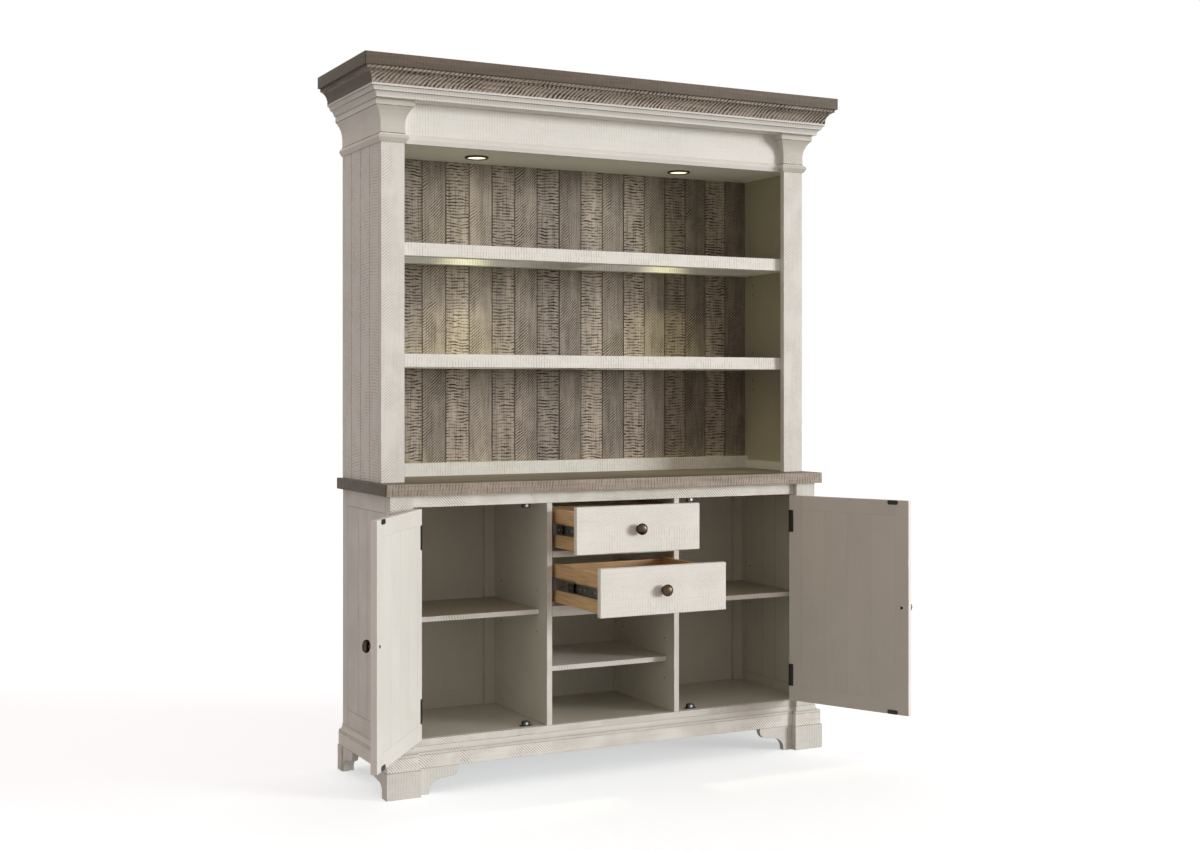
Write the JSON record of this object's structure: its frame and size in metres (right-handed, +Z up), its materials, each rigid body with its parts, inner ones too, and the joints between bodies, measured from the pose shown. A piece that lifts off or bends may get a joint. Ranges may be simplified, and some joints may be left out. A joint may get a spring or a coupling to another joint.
{
  "type": "buffet with display hutch",
  "caption": "Painted buffet cabinet with open display hutch above: hinged side doors, centre drawers on slides over an open cubby, framed glass shelves, crown moulding and bracket feet.",
  "frame": {"origin": "on the floor, on the cabinet's centre line, at the middle of the countertop's depth", "axes": "+Z up, front faces -Y, +X to the right as seen by someone who faces the front"},
  "size_m": [1.7988, 0.8233, 2.159],
  "materials": {
    "painted_wood": "antique white paint over rough-sawn wood",
    "weathered_wood": "grey-brown weathered stain, rough sawn",
    "natural_oak": "clear satin lacquer",
    "black_steel": "black coated steel",
    "dark_bronze": "dark bronze, satin",
    "bright_steel": "zinc plated",
    "clear_glass": "clear float glass",
    "light_lens": "frosted diffuser"
  },
  "bodies": {
    "cabinet": {"back_feet": "painted_wood", "back_posts": "painted_wood", "back_strips": "painted_wood", "base_back_panel": "painted_wood", "base_moulding": "painted_wood", "base_sides": "painted_wood", "bed_moulding": "painted_wood", "bottom_panel": "painted_wood", "bottom_rail": "painted_wood", "catch_poles": "bright_steel", "countertop": "weathered_wood", "crown_cap": "weathered_wood", "crown_cove": "weathered_wood", "cubby_shelf": "painted_wood", "dividers": "painted_wood", "door_catches": "black_steel", "door_shelves": "painted_wood", "drawer_rails": "painted_wood", "frieze_bead": "painted_wood", "frieze_board": "painted_wood", "front_feet": "painted_wood", "front_posts": "painted_wood", "head_rail": "painted_wood", "hinge_post_leaves": "black_steel", "hutch_back_planks": "weathered_wood", "hutch_base_rails": "painted_wood", "hutch_ceiling": "painted_wood", "hutch_posts": "painted_wood", "hutch_sides": "painted_wood", "left_capital": "painted_wood", "light_lenses": "light_lens", "light_rings": "black_steel", "lower_shelf_frame": "painted_wood", "plinth_boards": "painted_wood", "right_capital": "painted_wood", "shelf_glass": "clear_glass", "shelf_pins": "bright_steel", "slide_cabinet_members": "black_steel", "top_rail": "painted_wood", "upper_shelf_frame": "painted_wood"},
    "left_door": {"left_door": "painted_wood", "left_door_hinge_leaves": "black_steel", "left_door_knob": "dark_bronze", "left_door_strikes": "black_steel"},
    "right_door": {"right_door": "painted_wood", "right_door_hinge_leaves": "black_steel", "right_door_knob": "dark_bronze", "right_door_strikes": "black_steel"},
    "upper_drawer": {"upper_drawer_box": "natural_oak", "upper_drawer_front": "painted_wood", "upper_drawer_knob": "dark_bronze", "upper_drawer_slides": "black_steel"},
    "lower_drawer": {"lower_drawer_box": "natural_oak", "lower_drawer_front": "painted_wood", "lower_drawer_knob": "dark_bronze", "lower_drawer_slides": "black_steel"},
    "upper_slide_middles": {"upper_slide_middles": "black_steel"},
    "lower_slide_middles": {"lower_slide_middles": "black_steel"}
  },
  "joints": [
    {"name": "left_door_swing", "type": "hinge", "parent": "cabinet", "child": "left_door", "pos_m": [-0.6677, -0.19525, 0.5], "axis": [0, 0, -1], "range_deg": [-126.8, 8.2]},
    {"name": "right_door_swing", "type": "hinge", "parent": "cabinet", "child": "right_door", "pos_m": [0.6677, -0.19525, 0.5], "axis": [0, 0, 1], "range_deg": [-114.8, 20.2]},
    {"name": "upper_drawer_slide", "type": "slide", "parent": "cabinet", "child": "upper_drawer", "axis": [0, -1, 0], "range_m": [-0.1615, 0.1845]},
    {"name": "lower_drawer_slide", "type": "slide", "parent": "cabinet", "child": "lower_drawer", "axis": [0, -1, 0], "range_m": [-0.3157, 0.0303]},
    {"name": "upper_slide_middle", "type": "slide", "parent": "cabinet", "child": "upper_slide_middles", "axis": [0, -1, 0], "range_m": [-0.08075, 0.09225]},
    {"name": "lower_slide_middle", "type": "slide", "parent": "cabinet", "child": "lower_slide_middles", "axis": [0, -1, 0], "range_m": [-0.15785, 0.01515]}
  ],
  "couplings": [
    {"joint": "upper_slide_middle", "follows": "upper_drawer_slide", "ratio": 0.5},
    {"joint": "lower_slide_middle", "follows": "lower_drawer_slide", "ratio": 0.5}
  ]
}
